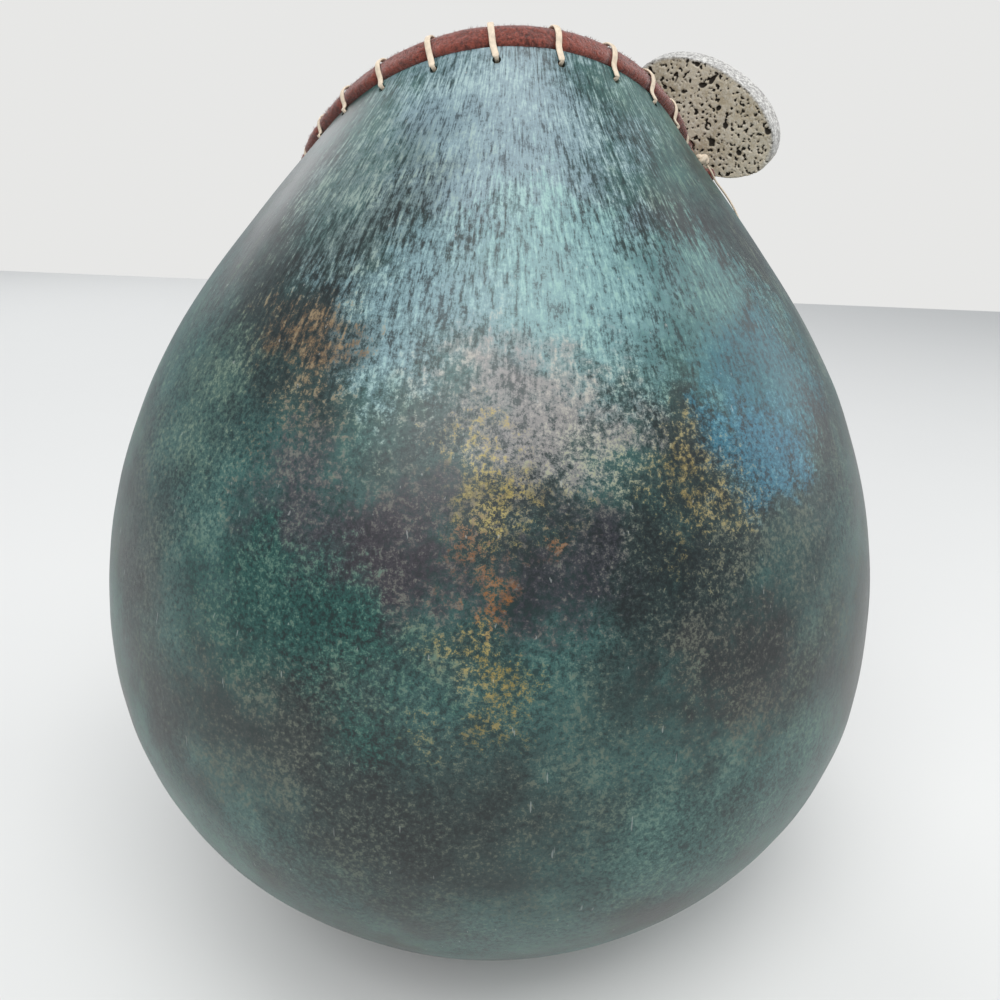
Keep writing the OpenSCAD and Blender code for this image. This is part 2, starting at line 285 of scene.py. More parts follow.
class Rim:
    """Edge of the cut, half way through the wall."""

    def __init__(self, sizes):
        self.outer = profile(sizes)
        self.inner = inner_profile(self.outer, sizes.wall)
        self.belly_h = sizes.belly_h
        self.top_h = TIP_H - sizes.wall
        self.run = [0.0]
        points = [self.edge(math.radians(a)) for a in range(0, 360 + RUN_STEP, RUN_STEP)]
        for a, b in zip(points, points[1:]):
            self.run.append(self.run[-1] + (b - a).length)
        self.length = self.run[-1]
        self.pitch = self.length / sizes.stitches

    def mid(self, z):
        return (radius_at(self.outer, z) + radius_at(self.inner, z)) / 2

    def seek(self, a, radius):
        """Height at which a wall face meets the cut, by halving."""
        low, high = self.belly_h, self.top_h
        for _ in range(SEEK_STEPS):
            z = (low + high) / 2
            r = radius(z)
            rolled = z * math.cos(RIM_ROLL) - r * math.cos(a) * math.sin(RIM_ROLL)
            if rolled > cut_z(r * math.sin(a)):
                high = z
            else:
                low = z
        return z

    def edge(self, a):
        z = self.seek(a, self.mid)
        return around(self.mid(z), a, z)

    def frame(self, degrees):
        """Frame at an azimuth."""
        a = math.radians(degrees)
        p = self.edge(a)
        look = 2 * MM
        slope = (self.mid(p.z + look) - self.mid(p.z - look)) / (2 * look)
        out = Vector((math.cos(a), math.sin(a), -slope)).normalized()
        turn = math.radians(2)
        along = (self.edge(a + turn) - self.edge(a - turn)).normalized()
        up = out.cross(along).normalized()
        cut = Vector((-math.sin(RIM_ROLL), -cut_rise(p.y), math.cos(RIM_ROLL))).normalized()
        return Frame(p, out, up, along, cut.dot(out), cut.dot(up))

    def degrees(self, s):
        """Azimuth at a distance along the edge."""
        s = s % self.length
        k = 0
        while k < len(self.run) - 2 and self.run[k + 1] < s:
            k += 1
        return RUN_STEP * (k + (s - self.run[k]) / (self.run[k + 1] - self.run[k]))

    def stop(self, k):
        """Frame at a number of pitches before the first stitch."""
        return self.frame(self.degrees((FIRST_STITCH - k) * self.pitch))


def place(f, outward, up):
    return f.point + outward * f.out + up * f.up


def welt_mid(f, welt_r):
    """Centre of the welt, outward and up from the edge."""
    n = math.hypot(f.cut_out, f.cut_up)
    return (welt_r + GAP) * f.cut_out / n, (welt_r + GAP) * f.cut_up / n


def stitch(f, sizes, rim_sizes):
    """One whip stitch as outward, up and share: through its hole, over the welt, and on inside."""
    half = sizes.wall / 2
    off = rim_sizes.lace_t / 2 + GAP
    mouth = half + off
    drop = sizes.hole_drop
    r = rim_sizes.welt_r + off
    c = Vector(welt_mid(f, rim_sizes.welt_r))
    lean = f.cut_out / f.cut_up
    w1 = Vector((mouth + 0.1 * MM, GAP - lean * half + (0 if lean > 0 else GAP)))
    w2 = Vector((-mouth - 0.1 * MM, GAP + max(lean, 0) * half))
    v1 = w1 - c
    v2 = w2 - c
    # The lace leaves the wall where it touches the roll
    a1 = math.atan2(v1.y, v1.x) + math.acos(min(1, r / v1.length))
    a2 = math.atan2(v2.y, v2.x) - math.acos(min(1, r / v2.length))
    if a2 < a1:
        a2 += 2 * math.pi
    points = [
        (-half + 0.4 * MM, -drop, 0), (0, -drop, 0), (half - 0.2 * MM, -drop, 0),
        (mouth - 0.15 * MM, -drop + 0.3 * MM, 0), (mouth, -drop + 1.2 * MM, 0.01),
        (w1.x, w1.y, 0.5 * STITCH_SLANT)]
    arc = 8
    for i in range(arc + 1):
        a = a1 + (a2 - a1) * i / arc
        points.append((c.x + r * math.cos(a), c.y + r * math.sin(a), STITCH_SLANT * (0.6 + 0.1 * i)))
    points += [
        (w2.x, w2.y, 0.3), (-mouth, -drop * 0.35, 0.55), (-mouth, -drop * 0.65, 0.8),
        (-mouth - 0.1 * MM, -drop + 0.9 * MM, 0.95), (-mouth + 0.2 * MM, -drop + 0.1 * MM, 1)]
    return points


def add_object(name, verts, faces, smooth=True):
    """A mesh object at the origin with its faces outward."""
    mesh = bpy.data.meshes.new(name)
    mesh.from_pydata([tuple(v) for v in verts], [], faces)
    mesh.validate()
    obj = bpy.data.objects.new(name, mesh)
    bpy.context.scene.collection.objects.link(obj)
    bm = bmesh.new()
    bm.from_mesh(mesh)
    bmesh.ops.recalc_face_normals(bm, faces=bm.faces)
    bm.to_mesh(mesh)
    bm.free()
    for face in mesh.polygons:
        face.use_smooth = smooth
    return obj


def tube_mesh(rings, closed=False):
    """Points and faces of a tube through rings of equal length."""
    sides = len(rings[0])
    count = len(rings)
    verts = [p for r in rings for p in r]
    faces = []
    for i in range(count if closed else count - 1):
        n = (i + 1) % count
        for j in range(sides):
            k = (j + 1) % sides
            faces.append((i * sides + j, i * sides + k, n * sides + k, n * sides + j))
    if not closed:
        faces.append(tuple(range(sides - 1, -1, -1)))
        faces.append(tuple(range((count - 1) * sides, count * sides)))
    return verts, faces


def join_mesh(parts):
    """Points and faces of several meshes as one."""
    verts, faces = [], []
    for v, f in parts:
        base = len(verts)
        verts += list(v)
        faces += [tuple(i + base for i in face) for face in f]
    return verts, faces


def smooth_route(points, cuts):
    """Rounded route through chosen points."""
    out = []
    n = len(points)
    for i in range(n - 1):
        p0, p1 = points[max(i - 1, 0)], points[i]
        p2, p3 = points[i + 1], points[min(i + 2, n - 1)]
        for c in range(cuts):
            t = c / cuts
            out.append(0.5 * (
                2 * p1 + (p2 - p0) * t + (2 * p0 - 5 * p1 + 4 * p2 - p3) * t * t
                + (3 * p1 - p0 - 3 * p2 + p3) * t ** 3))
    out.append(points[-1].copy())
    return out


def spread(values, cuts):
    """Values at the cuts of a rounded route."""
    out = []
    for a, b in zip(values, values[1:]):
        out += [a + (b - a) * c / cuts for c in range(cuts)]
    return out + [values[-1]]


def across(route, i, side):
    """Two directions across a route at one of its points, the first nearest to side."""
    d = (route[min(i + 1, len(route) - 1)] - route[max(i - 1, 0)]).normalized()
    x = (side - side.dot(d) * d).normalized()
    return x, d.cross(x)


def round_rings(route, side, radius, sides, rough=0.0, scale=1.0):
    """Rings of a round strand, roughened by noise of a scale."""
    rings = []
    for i, p in enumerate(route):
        x, y = across(route, i, side)
        ring = []
        for j in range(sides):
            a = 2 * math.pi * j / sides
            way = math.cos(a) * x + math.sin(a) * y
            q = p + radius * way
            ring.append(q + way * rough * noise.noise(q * scale))
        rings.append(ring)
    return rings


def flat_rings(route, sides_out, width, thick):
    """Rings of a flat lace with rounded edges; each side's length is a share of the width."""
    shape = [
        (1.0, 0.0), (0.92, 0.62), (0.6, 1.0), (0.0, 1.08), (-0.6, 1.0), (-0.92, 0.62),
        (-1.0, 0.0), (-0.92, -0.62), (-0.6, -1.0), (0.0, -1.0), (0.6, -1.0), (0.92, -0.62)]
    rings = []
    for i, p in enumerate(route):
        x, y = across(route, i, sides_out[i])
        half = width / 2 * sides_out[i].length
        rings.append([p + u * half * x + v * thick / 2 * y for u, v in shape])
    return rings


def knot_mesh(centre, reach, share):
    """A small overhand knot, drawn tight, as one closed strand."""
    count = 96
    sides = 12
    strand = reach * share
    route = []
    for i in range(count):
        t = 2 * math.pi * i / count
        p = Vector((
            math.sin(t) + 2 * math.sin(2 * t),
            math.cos(t) - 2 * math.cos(2 * t),
            -1.3 * math.sin(3 * t)))
        route.append(centre + p * (reach - strand) / 3.0)
    rings = []
    for i, p in enumerate(route):
        d = (route[(i + 1) % count] - route[i - 1]).normalized()
        x = (Vector((0, 0, 1)) - d.z * d).normalized()
        y = d.cross(x)
        turns = [2 * math.pi * j / sides for j in range(sides)]
        rings.append([p + strand * (math.cos(a) * x + math.sin(a) * y) for a in turns])
    return tube_mesh(rings, closed=True)


def subtract(obj, cutter):
    """Cut one mesh out of a piece."""
    cut = obj.modifiers.new("cut", "BOOLEAN")
    cut.operation = "DIFFERENCE"
    cut.solver = "EXACT"
    cut.object = cutter


def to_plain_mesh(obj):
    """Apply what modifies a piece, and leave none of it live."""
    graph = bpy.context.evaluated_depsgraph_get()
    mesh = bpy.data.meshes.new_from_object(obj.evaluated_get(graph))
    obj.modifiers.clear()
    obj.data = mesh


def dress(obj, material, body, slot, *nodes):
    """Give a finished piece its material and its body, and hide the CAD parts of the nodes it stands for;
    slot is not used.
    """
    obj.data.materials.clear()
    obj.data.materials.append(material)
    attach(obj, body)
    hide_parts(*nodes)


class Socket:
    """An output socket, whose arithmetic adds Math nodes."""

    def __init__(self, tree, socket):
        self.tree = tree
        self.socket = socket

    def math(self, operation, *others):
        sockets = dict(enumerate((self, *others)))
        return self.tree.node("ShaderNodeMath", {"operation": operation}, sockets, 0)

    def __add__(self, other):
        return self.math("ADD", other)

    __radd__ = __add__

    def __sub__(self, other):
        return self.math("SUBTRACT", other)

    def __rsub__(self, other):
        return self.tree.node("ShaderNodeMath", {"operation": "SUBTRACT"}, {0: other, 1: self}, 0)

    def __mul__(self, other):
        return self.math("MULTIPLY", other)

    __rmul__ = __mul__

    def __truediv__(self, other):
        return self.math("DIVIDE", other)


class Tree:
    """A node tree whose nodes all come from node()."""

    def __init__(self, tree):
        self.tree = tree

    def node(self, kind, settings, sockets, *outs):
        """Add a node, with sockets and outs by name or index; one out comes back alone."""
        node = self.tree.nodes.new(kind)
        for key, value in settings.items():
            setattr(node, key, value)
        for key, value in sockets.items():
            self.put(node.inputs[key], value)
        found = [Socket(self, node.outputs[out]) for out in outs]
        return found[0] if len(found) == 1 else found

    def put(self, socket, value):
        """Link or set one input."""
        if isinstance(value, Socket):
            self.tree.links.new(value.socket, socket)
        elif socket.type == "RGBA":
            socket.default_value = (*value, 1)
        else:
            socket.default_value = value


class Paint(Tree):
    """One material on Object coordinates."""

    def __init__(self, name):
        self.material = bpy.data.materials.new(name)
        self.material.use_nodes = True
        super().__init__(self.material.node_tree)
        self.shader = self.tree.nodes["Principled BSDF"]
        self.place = self.node("ShaderNodeTexCoord", {}, {}, "Object")

    def noise(self, scale, detail=2.0, rough=0.5, place=None, out="Fac"):
        sockets = {"Vector": place or self.place, "Scale": scale, "Detail": detail, "Roughness": rough}
        return self.node("ShaderNodeTexNoise", {}, sockets, out)

    def attribute(self, name):
        return self.node("ShaderNodeAttribute", {"attribute_name": name}, {}, "Fac")

    def step(self, value, low, high):
        """Smooth rise from 0 at low to 1 at high."""
        sockets = {"Value": value, "From Min": low, "From Max": high}
        return self.node("ShaderNodeMapRange", {"interpolation_type": "SMOOTHSTEP"}, sockets, "Result")

    def mix(self, share, a, b, blend="MIX"):
        settings = {"data_type": "RGBA", "blend_type": blend}
        return self.node("ShaderNodeMix", settings, {0: share, 6: a, 7: b}, 2)

    def times(self, a, b):
        return self.mix(1.0, a, b, "MULTIPLY")

    def vector(self, operation, a, b, out="Vector"):
        return self.node("ShaderNodeVectorMath", {"operation": operation}, {0: a, 1: b}, out)

    def drift(self, scale, detail, rough, reach):
        """Noise as a vector that moves a place by up to about half its reach."""
        centred = self.vector("SUBTRACT", self.noise(scale, detail, rough, out="Color"), (0.5, 0.5, 0.5))
        sockets = {0: centred, "Scale": reach}
        return self.node("ShaderNodeVectorMath", {"operation": "SCALE"}, sockets, "Vector")

    def join(self, x, y, z):
        return self.node("ShaderNodeCombineXYZ", {}, {0: x, 1: y, 2: z}, 0)

    def bump(self, height, strength, distance):
        sockets = {"Height": height, "Strength": strength, "Distance": distance}
        return self.node("ShaderNodeBump", {}, sockets, "Normal")

    def finish(self, sockets):
        for key, value in sockets.items():
            self.put(self.shader.inputs[key], value)
        return self.material


def dye(paint, sizes, grain):
    """Dye without its fine specks, with a painted highlight among the patches: a cloudy ground under the
    patches, which break up by the grain.
    """
    outer = profile(sizes)
    moved = paint.vector("ADD", paint.place, paint.drift(26.0, 4.0, 0.62, 85 * MM))
    where = paint.vector("ADD", moved, paint.drift(240.0, 3.0, 0.7, 30 * MM))
    cloud = paint.step(paint.noise(16.0, 5.0, 0.6), 0.36, 0.62)
    tone = paint.mix(cloud, tuple(sizes.dye_dark), tuple(sizes.dye_teal))
    for azimuth, height, size, strength, colour in DYE_AND_HIGHLIGHT_PATCHES:
        centre = around(radius_at(outer, height * MM), math.radians(azimuth), height * MM)
        far = paint.vector("DISTANCE", where, centre, "Value")
        # Warm dyes lie as single specks, cold dyes and the painted highlight as a closer cloud
        warm = colour[0] > colour[2]
        scatter = 4.2 if warm else 2.0
        reach = 0.70 if warm else 0.95
        cover = paint.step(far, size * MM * 1.45, size * MM * 0.1) * (strength * reach)
        broken = paint.step(cover + (grain - 0.5) * scatter, 0.30, 0.78)
        tone = paint.mix(broken * paint.step(cover, 0.0, 0.22), tone, colour)
    return paint.times(tone, (0.70, 0.60, 0.53))


def gourd_paint(sizes):
    """Sponged dye over the dark ground with a painted highlight high on the front, streaks toward the neck
    and a waxed gloss.
    """
    paint = Paint("dyed_gourd")
    x, y, z = paint.node("ShaderNodeSeparateXYZ", {}, {0: paint.place}, 0, 1, 2)
    radius = (x * x + y * y).math("SQRT") + 0.0001
    # Streaks follow the meridians on the neck, and specks lie below
    streak = paint.noise(640.0, 4.0, 0.72, paint.join(x / radius * 0.11, y / radius * 0.11, z * 0.28))
    speck = paint.noise(560.0, 5.0, 0.85)
    neck = paint.step(z, 0.215, 0.300)
    grain = speck + (streak - speck) * neck * 0.62
    # The dye patches carry the painted highlight high on the front
    tone = dye(paint, sizes, grain)
    bite = grain + (paint.noise(46.0, 3.0, 0.6) - 0.5) * 0.30
    dark_share = paint.step(bite, 0.50, 0.40)
    light_share = paint.step(bite, 0.52, 0.62)
    deep = paint.times(tone, (0.20, 0.23, 0.25))
    pale = paint.mix(0.30, paint.times(tone, (1.5, 1.5, 1.4)), (0.38, 0.40, 0.28), "ADD")
    colour = paint.mix(dark_share * 0.85, tone, deep)
    colour = paint.mix(light_share * 0.62, colour, pale)
    long_way = paint.join(x * 9.0, y * 9.0, (z + x * 0.4) * 0.8)
    scratch = paint.step(paint.noise(60.0, 2.0, 0.5, long_way), 0.735, 0.75)
    colour = paint.mix(scratch * 0.30, colour, (0.45, 0.47, 0.45))
    # Bare wall inside and on the cut
    bare = paint.attribute("bare")
    fibre = paint.noise(180.0, 5.0, 0.7, paint.join(x / radius * 0.1, y / radius * 0.1, z * 0.3))
    flesh = paint.mix(paint.step(fibre, 0.35, 0.65), (0.23, 0.16, 0.088), (0.42, 0.32, 0.19))
    rough = 0.30 + light_share * 0.16 + paint.noise(30.0, 3.0) * 0.16 + bare * 0.35
    relief = grain * 0.5 + paint.noise(70.0, 3.0, 0.6) * 0.9 + scratch * -0.4
    return paint.finish({
        "Base Color": paint.mix(bare, colour, flesh), "Roughness": rough,
        "Normal": paint.bump(relief, 0.20, 1.0 * MM),
        "Coat Weight": 0.10, "Coat Roughness": 0.30, "Specular IOR Level": 0.42})


def suede_paint(name, colour):
    """Matt nap with pale and dark tufts."""
    paint = Paint(name)
    tuft = paint.noise(900.0, 4.0, 0.75)
    cloud = paint.noise(120.0, 3.0, 0.6)
    dark = tuple(c * 0.32 for c in colour)
    light = tuple(min(1.0, c * 1.9 + 0.05) for c in colour)
    tone = paint.mix(paint.step(tuft + (cloud - 0.5) * 0.3, 0.34, 0.56), dark, tuple(colour))
    tone = paint.mix(paint.step(tuft, 0.56, 0.78), tone, light)
    return paint.finish({
        "Base Color": tone, "Roughness": 0.82 + tuft * 0.15, "Normal": paint.bump(tuft, 0.8, 0.9 * MM),
        "Sheen Weight": 0.45, "Sheen Roughness": 0.5, "Specular IOR Level": 0.2})


def lace_paint(colour):
    """Smooth pale hide with faint grain and dirt."""
    paint = Paint("pale_lace")
    grain = paint.noise(700.0, 3.0, 0.6)
    dirt = paint.noise(90.0, 4.0, 0.6)
    tone = paint.mix(paint.step(grain, 0.3, 0.7), tuple(c * 0.82 for c in colour), tuple(colour))
    tone = paint.mix(paint.step(dirt, 0.55, 0.8) * 0.55, tone, (0.38, 0.24, 0.15))
    return paint.finish({
        "Base Color": tone, "Roughness": 0.50 + grain * 0.2, "Normal": paint.bump(grain, 0.35, 0.4 * MM),
        "Specular IOR Level": 0.4})


def bone_paint():
    """Porous sawn face with painted shade in its dark pores and a pale speckled rind."""
    paint = Paint("porous_bone")
    fine = paint.noise(800.0, 4.0, 0.7)
    cloud = paint.noise(90.0, 3.0, 0.6)
    face = paint.mix(paint.step(cloud, 0.35, 0.65), (0.44, 0.37, 0.26), (0.60, 0.53, 0.41))
    face = paint.mix(paint.step(fine, 0.42, 0.62) * 0.55, face, (0.66, 0.62, 0.54))
    rind = paint.mix(paint.step(fine, 0.40, 0.60), (0.30, 0.29, 0.28), (0.62, 0.61, 0.58))
    tone = paint.mix(paint.attribute("rind"), face, rind)
    # Near black in the sunken pores: painted shade
    tone = paint.mix(paint.step(paint.attribute("pore"), 0.12, 0.62), tone, (0.030, 0.024, 0.018))
    return paint.finish({
        "Base Color": tone, "Roughness": 0.78 + fine * 0.15, "Normal": paint.bump(fine, 0.55, 0.6 * MM),
        "Specular IOR Level": 0.3})


def floor_paint():
    """Pale plain floor that still takes shadow."""
    paint = Paint("pale_floor")
    tone = paint.mix(paint.noise(9.0, 3.0) * 0.25, (0.74, 0.735, 0.72), (0.70, 0.695, 0.68))
    return paint.finish({"Base Color": tone, "Roughness": 0.7, "Specular IOR Level": 0.2})


class GOURD_OT_stage(bpy.types.Operator):
    """Camera, soft lamps, pale floor and pale background"""

    bl_idname = "gourd.stage"
    bl_label = "Stage"

    def execute(self, context):
        scene = context.scene
        scene.view_settings.view_transform = "Standard"
        self.camera(scene)
        reach = FLOOR_HALF
        corners = [(-reach, -reach, 0), (reach, -reach, 0), (reach, reach, 0), (-reach, reach, 0)]
        floor = add_object("floor", corners, [(0, 1, 2, 3)], smooth=False)
        floor.data.materials.append(floor_paint())
        for name, at, aim, width, power in LAMPS:
            lamp = bpy.data.lights.new(name, "AREA")
            lamp.size = width
            lamp.energy = power
            obj = bpy.data.objects.new(name, lamp)
            scene.collection.objects.link(obj)
            obj.location = at
            obj.rotation_euler = (Vector(aim) - Vector(at)).to_track_quat("-Z", "Y").to_euler()
        self.world(scene)
        return {"FINISHED"}

    @staticmethod
    def camera(scene):
        data = bpy.data.cameras.new("camera")
        data.sensor_width = SENSOR
        data.lens = LENS
        data.clip_start = 10 * MM
        camera = bpy.data.objects.new("camera", data)
        scene.collection.objects.link(camera)
        level = Vector((0, math.sin(PITCH), math.cos(PITCH)))
        ahead = Vector((0, math.cos(PITCH), -math.sin(PITCH)))
        right = math.cos(TILT) * Vector((1, 0, 0)) + math.sin(TILT) * level
        up = -math.sin(TILT) * Vector((1, 0, 0)) + math.cos(TILT) * level
        turn = Matrix((right, up, -ahead)).transposed().to_4x4()
        camera.matrix_world = Matrix.Translation(CAMERA_AT) @ turn
        scene.camera = camera

    @staticmethod
    def world(scene):
        """Soft even light, seen by the camera as a pale background."""
        world = bpy.data.worlds.new("soft_room")
        world.use_nodes = True
        scene.world = world
        tree = Tree(world.node_tree)
        tree.tree.nodes.clear()
        direct, through = tree.node("ShaderNodeLightPath", {}, {}, "Is Camera Ray", "Is Transmission Ray")
        soft = tree.node("ShaderNodeBackground", {}, {"Color": (0.90, 0.95, 1.0), "Strength": 0.50}, 0)
        pale = tree.node("ShaderNodeBackground", {}, {"Color": (0.80, 0.80, 0.79), "Strength": 1.0}, 0)
        seen = direct.math("MAXIMUM", through)
        mixed = tree.node("ShaderNodeMixShader", {}, {0: seen, 1: soft, 2: pale}, 0)
        tree.node("ShaderNodeOutputWorld", {}, {"Surface": mixed})


def lace_knot_place(rim, sizes):
    """Centre of the lace's knot, outside the wall after the first stitch."""
    return place(rim.stop(-KNOT_SHARE), sizes.wall / 2 + GAP + KNOT_R, -sizes.hole_drop - KNOT_LOW)


class GOURD_OT_tail(bpy.types.Operator):
    """Hanging end of the lace, below its knot"""

    bl_idname = "gourd.tail"
    bl_label = "Lace end"

    def execute(self, context):
        sizes = context.scene.gourd_sizes
        start = lace_knot_place(Rim(sizes), sizes) + TAIL_WAY * (KNOT_R + 0.1 * MM)
        route = smooth_route([start + Vector(p) * MM for p in TAIL_ROUTE], 6)
        # The flat end twists a little on its way
        sides = [Vector((0.2, 1, 0.1 * math.sin(i * 0.3))).normalized() for i in range(len(route))]
        tail = add_object("lace_end", *tube_mesh(flat_rings(route, sides, TAIL_D, TAIL_T)))
        dress(tail, lace_paint(context.scene.rim_sizes.lace), "vessel", "pale_lace", "lacing_tail")
        run = sum((b - a).length for a, b in zip(route, route[1:]))
        return {"FINISHED"}


class GOURD_OT_shell(bpy.types.Operator):
    """Dried shell with its cut rim and lacing holes"""

    bl_idname = "gourd.shell"
    bl_label = "Shell"

    def execute(self, context):
        sizes = context.scene.gourd_sizes
        rim = Rim(sizes)
        shell = add_object("shell", *self.wall(rim, sizes.wall))
        drills = []
        for k in range(sizes.stitches):
            drills.append(self.drill(rim.stop(k), sizes.hole_drop, sizes.hole_d, sizes.wall))
        drills.append(self.drill(rim.frame(THONG_AT), THONG_DROP, THONG_HOLE_D, sizes.wall))
        cutter = add_object("drills", *join_mesh(drills))
        subtract(shell, cutter)
        to_plain_mesh(shell)
        bpy.data.objects.remove(cutter)
        self.mark_bare(shell.data, rim, sizes.wall)
        for face in shell.data.polygons:
            face.use_smooth = True
        shell.data.set_sharp_from_angle(angle=math.radians(38))
        dress(shell, gourd_paint(sizes), "vessel", "dyed_gourd", "gourd_shell")
        return {"FINISHED"}

    @staticmethod
    def wall(rim, thick):
        """Columns of points up the outside, over the cut and down the inside, with a shallow dented skin."""
        turns = 240
        rows = 110
        lip = 3
        fade_h = 30 * MM
        verts = []
        for i in range(turns):
            a = 2 * math.pi * i / turns
            top_out = rim.seek(a, lambda z: radius_at(rim.outer, z))
            top_in = rim.seek(a, lambda z: radius_at(rim.inner, z))
            for k in range(rows + 1):
                z = top_out * (k / rows) ** 1.35
                r = radius_at(rim.outer, z)
                if z > 0:
                    p = around(r, a, z)
                    fade = min(1.0, (top_out - z) / fade_h) * min(1.0, z / fade_h)
                    r -= fade * 0.9 * MM * (0.5 + noise.noise(p * 14))
                    r -= fade * 0.25 * MM * noise.noise(p * 60)
                verts.append(around(r, a, z))
            ro = radius_at(rim.outer, top_out)
            ri = radius_at(rim.inner, top_in)
            for k in range(1, lip):
                t = k / lip
                verts.append(around(ro + (ri - ro) * t, a, top_out + (top_in - top_out) * t))
            low = rim.inner[0][1]
            for k in range(rows + 1):
                z = low + (top_in - low) * (1 - k / rows) ** 1.2
                verts.append(around(radius_at(rim.inner, z), a, z))
        per = len(verts) // turns
        foot = len(verts)
        inside = foot + 1
        verts += [(0, 0, 0), (0, 0, thick)]
        faces = []
        for i in range(turns):
            n = (i + 1) % turns
            for k in range(per - 1):
                faces.append((i * per + k, n * per + k, n * per + k + 1, i * per + k + 1))
        for i in range(turns):
            n = (i + 1) % turns
            faces.append((n * per, i * per, foot))
            faces.append((i * per + per - 1, n * per + per - 1, inside))
        return verts, faces

    @staticmethod
    def drill(f, drop, width, wall):
        """A round cutter through the wall, below the edge."""
        centre = place(f, 0, -drop)
        reach = wall * 1.2
        ends = [centre - f.out * reach, centre + f.out * reach]
        return tube_mesh(round_rings(ends, f.along, width / 2, 20))

    @staticmethod
    def mark_bare(mesh, rim, wall):
        """Mark what lies inside the outer skin, which has no dye."""
        bare = mesh.attributes.new("bare", "FLOAT", "POINT")
        for v in mesh.vertices:
            depth = radius_at(rim.outer, v.co.z) - math.hypot(v.co.x, v.co.y)
            if v.co.z <= wall * 0.9:
                depth = 0 if v.co.z < 1 * MM else wall
            bare.data[v.index].value = 1.0 if depth > 2.8 * MM else 0.0


class GOURD_OT_welt(bpy.types.Operator):
    """Rolled suede welt with its nap"""

    bl_idname = "gourd.welt"
    bl_label = "Welt"

    def execute(self, context):
        sizes = context.scene.gourd_sizes
        rim_sizes = context.scene.rim_sizes
        rim = Rim(sizes)
        turns = 720
        rings = [self.ring(rim, rim.length * i / turns, rim_sizes.welt_r) for i in range(turns)]
        welt = add_object("welt", *tube_mesh(rings, closed=True))
        fibres = self.nap(welt, suede_paint("red_suede_nap", rim_sizes.suede))
        dress(welt, suede_paint("red_suede", rim_sizes.suede), "vessel", "red_suede", "rim_welt")
        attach(fibres, "vessel")
        return {"FINISHED"}

    @staticmethod
    def ring(rim, s, welt_r):
        """Section of the roll, which sags over the outer edge except where the lace bites."""
        sides = 40
        f = rim.frame(rim.degrees(s))
        centre = place(f, *welt_mid(f, welt_r))
        phase = (FIRST_STITCH - s / rim.pitch - STITCH_SLANT) % 1.0
        bite = math.exp(-(min(phase, 1 - phase) * rim.pitch / (1.9 * MM)) ** 2)
        ring = []
        for j in range(sides):
            a = 2 * math.pi * j / sides
            way = math.cos(a) * f.out + math.sin(a) * f.up
            q = centre + way * welt_r
            r = welt_r * (1 - 0.05 * bite) - 0.10 * MM
            sag = (a - math.radians(312)) / math.radians(26)
            r += 1.5 * MM * math.exp(-sag * sag) * (1 - bite)
            r += 0.16 * MM * noise.noise(q * 260) + 0.10 * MM * noise.noise(q * 900)
            ring.append(centre + way * r)
        return ring

    @staticmethod
    def nap(welt, material):
        """Short fibres scattered over the roll by geometry nodes, as one plain mesh."""
        group = bpy.data.node_groups.new("nap", "GeometryNodeTree")
        face = group.interface
        face.new_socket("Geometry", in_out="INPUT", socket_type="NodeSocketGeometry")
        values = {
            "Density": 1.3e6, "Fibre length": 0.7 * MM, "Fibre radius": 0.06 * MM, "Tip radius": 0.01 * MM}
        keys = {}
        for name in values:
            keys[name] = face.new_socket(name, in_out="INPUT", socket_type="NodeSocketFloat").identifier
        face.new_socket("Geometry", in_out="OUTPUT", socket_type="NodeSocketGeometry")
        tree = Tree(group)
        shape, density, fibre, radius, tip = tree.node("NodeGroupInput", {}, {}, "Geometry", *values)
        points, upright = tree.node(
            "GeometryNodeDistributePointsOnFaces", {}, {"Mesh": shape, "Density": density, "Seed": 7},
            "Points", "Rotation")
        cone = tree.node(
            "GeometryNodeMeshCone", {},
            {"Vertices": 3, "Radius Top": tip, "Radius Bottom": radius, "Depth": fibre}, "Mesh")
        grow = tree.node("FunctionNodeRandomValue", {"data_type": "FLOAT"}, {2: 0.4, 3: 1.3, "Seed": 5}, 1)
        lean = tree.node(
            "FunctionNodeRandomValue", {"data_type": "FLOAT_VECTOR"},
            {0: (-0.9, -0.9, 0), 1: (0.9, 0.9, 6.2), "Seed": 3}, 0)
        standing = tree.node(
            "GeometryNodeInstanceOnPoints", {},
            {"Points": points, "Instance": cone, "Rotation": upright, "Scale": grow}, "Instances")
        leaning = tree.node(
            "GeometryNodeRotateInstances", {}, {"Instances": standing, "Rotation": lean}, "Instances")
        solid = tree.node("GeometryNodeRealizeInstances", {}, {"Geometry": leaning}, "Geometry")
        painted = tree.node(
            "GeometryNodeSetMaterial", {}, {"Geometry": solid, "Material": material}, "Geometry")
        tree.node("NodeGroupOutput", {}, {"Geometry": painted})
        fibres = bpy.data.objects.new("welt_nap", welt.data.copy())
        bpy.context.scene.collection.objects.link(fibres)
        change = fibres.modifiers.new("nap", "NODES")
        change.node_group = group
        for name, value in values.items():
            change[keys[name]] = value
        to_plain_mesh(fibres)
        return fibres


